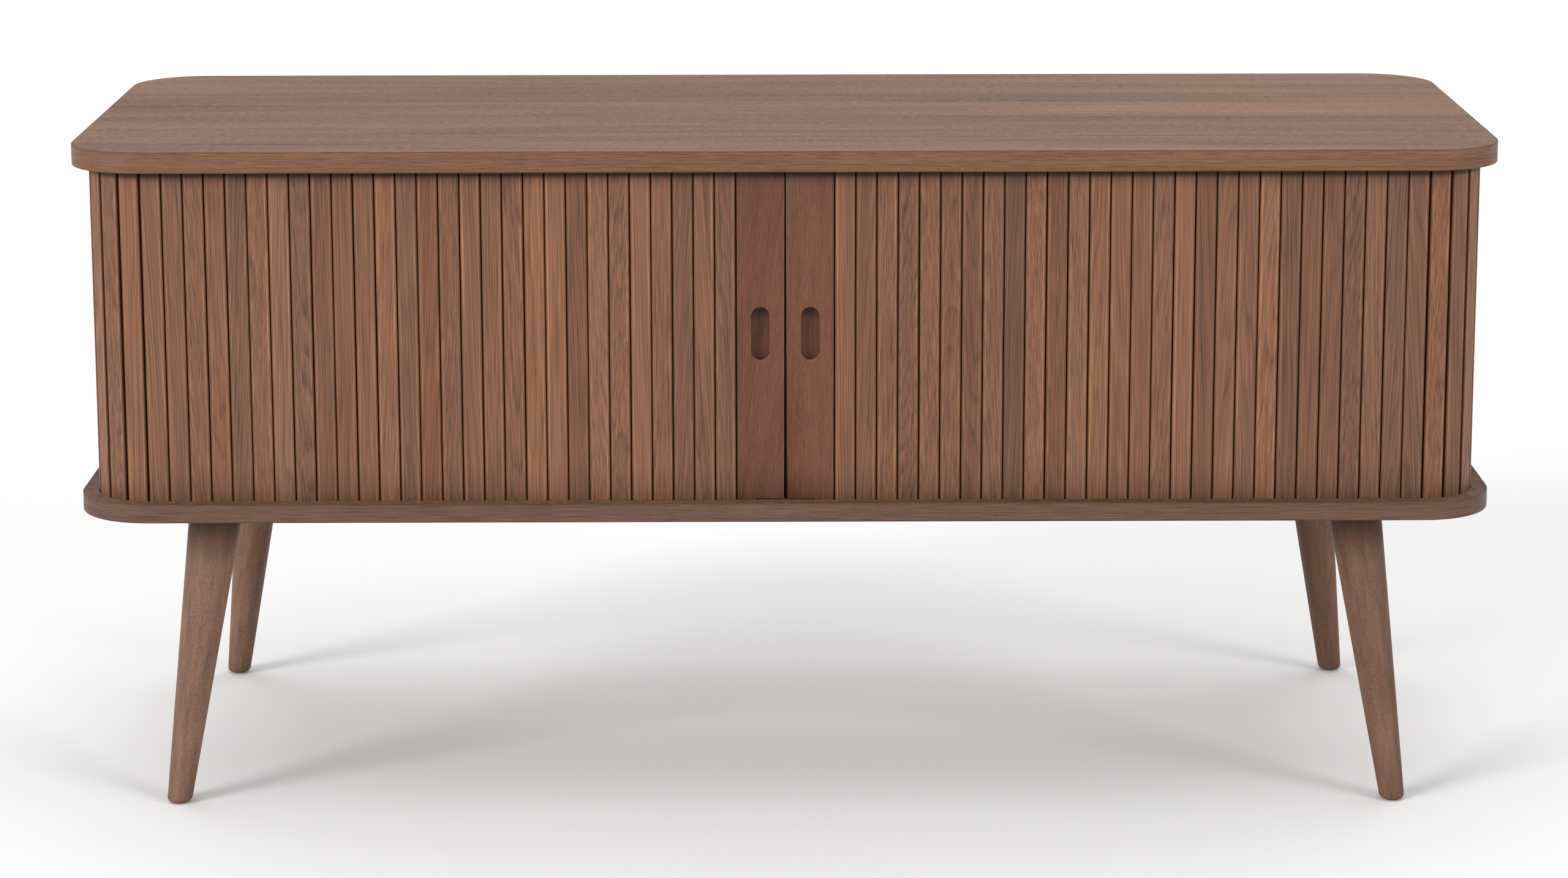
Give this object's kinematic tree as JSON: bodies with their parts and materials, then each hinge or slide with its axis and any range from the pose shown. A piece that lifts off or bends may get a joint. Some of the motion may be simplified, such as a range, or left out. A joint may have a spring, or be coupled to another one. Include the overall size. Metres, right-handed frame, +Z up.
{
  "type": "media cabinet",
  "caption": "Low media cabinet with rounded corners, sliding tambour doors that wrap round them, inner shelves, and round, splayed, tapered legs.",
  "frame": {"origin": "on the floor, under the middle of the cabinet", "axes": "+X along the cabinet's width, to the right seen from the front; -Y is the front; +Z up"},
  "size_m": [1.2, 0.46, 0.571],
  "materials": {
    "veneer_top": "satin lacquer on walnut veneer, grain along X",
    "veneer_edge": "satin lacquer on walnut edge veneer",
    "slat_walnut": "satin lacquer on walnut slats, grain upright",
    "stile_walnut": "satin lacquer on redder solid wood",
    "leg_wood": "stained beech, satin",
    "carcass_board": "walnut veneered board, satin",
    "back_board": "thin veneered board, matt",
    "raw_wood": "unfinished hardwood",
    "canvas": "brown cotton canvas",
    "black_plastic": "matt moulded",
    "glide_plastic": "brown moulded",
    "zinc_steel": "zinc plated",
    "black_steel": "black powder coat",
    "insert_brass": "machined"
  },
  "bodies": {
    "carcass": {"top_panel": "veneer_top", "top_edge_band": "veneer_edge", "bottom_panel": "veneer_top", "bottom_edge_band": "veneer_edge", "centre_partition": "carcass_board", "inner_back": "carcass_board", "outer_back_panel": "back_board", "rear_spacer": "raw_wood", "inner_cable_grommet": "black_plastic", "outer_cable_grommet": "black_plastic", "panel_dowels": "raw_wood", "panel_screws": "zinc_steel", "cam_locks": "zinc_steel", "cam_bolts": "zinc_steel", "back_screws": "zinc_steel", "leg_plate_screws": "zinc_steel", "hanger_bolts": "zinc_steel", "threaded_inserts": "insert_brass", "foot_glides": "glide_plastic", "front_left_leg": "leg_wood", "front_left_leg_plate": "black_steel", "front_right_leg": "leg_wood", "front_right_leg_plate": "black_steel", "rear_left_leg": "leg_wood", "rear_left_leg_plate": "black_steel", "rear_right_leg": "leg_wood", "rear_right_leg_plate": "black_steel", "left_inner_side": "carcass_board", "left_shelf": "carcass_board", "left_shelf_pins": "zinc_steel", "left_corner_slats": "slat_walnut", "left_side_slats": "slat_walnut", "left_rear_slats": "slat_walnut", "left_tail_canvas": "canvas", "right_inner_side": "carcass_board", "right_shelf": "carcass_board", "right_shelf_pins": "zinc_steel", "right_corner_slats": "slat_walnut", "right_side_slats": "slat_walnut", "right_rear_slats": "slat_walnut", "right_tail_canvas": "canvas"},
    "left_door": {"left_stile": "stile_walnut", "left_front_slats": "slat_walnut", "left_front_canvas": "canvas"},
    "right_door": {"right_stile": "stile_walnut", "right_front_slats": "slat_walnut", "right_front_canvas": "canvas"}
  },
  "joints": [
    {"name": "left_door_slide", "type": "slide", "parent": "carcass", "child": "left_door", "axis": [-1, 0, 0], "range_m": [0, 0.4935], "deforming": ["left_front_slats", "left_front_canvas"]},
    {"name": "right_door_slide", "type": "slide", "parent": "carcass", "child": "right_door", "axis": [1, 0, 0], "range_m": [0, 0.4935], "deforming": ["right_front_slats", "right_front_canvas"]}
  ]
}
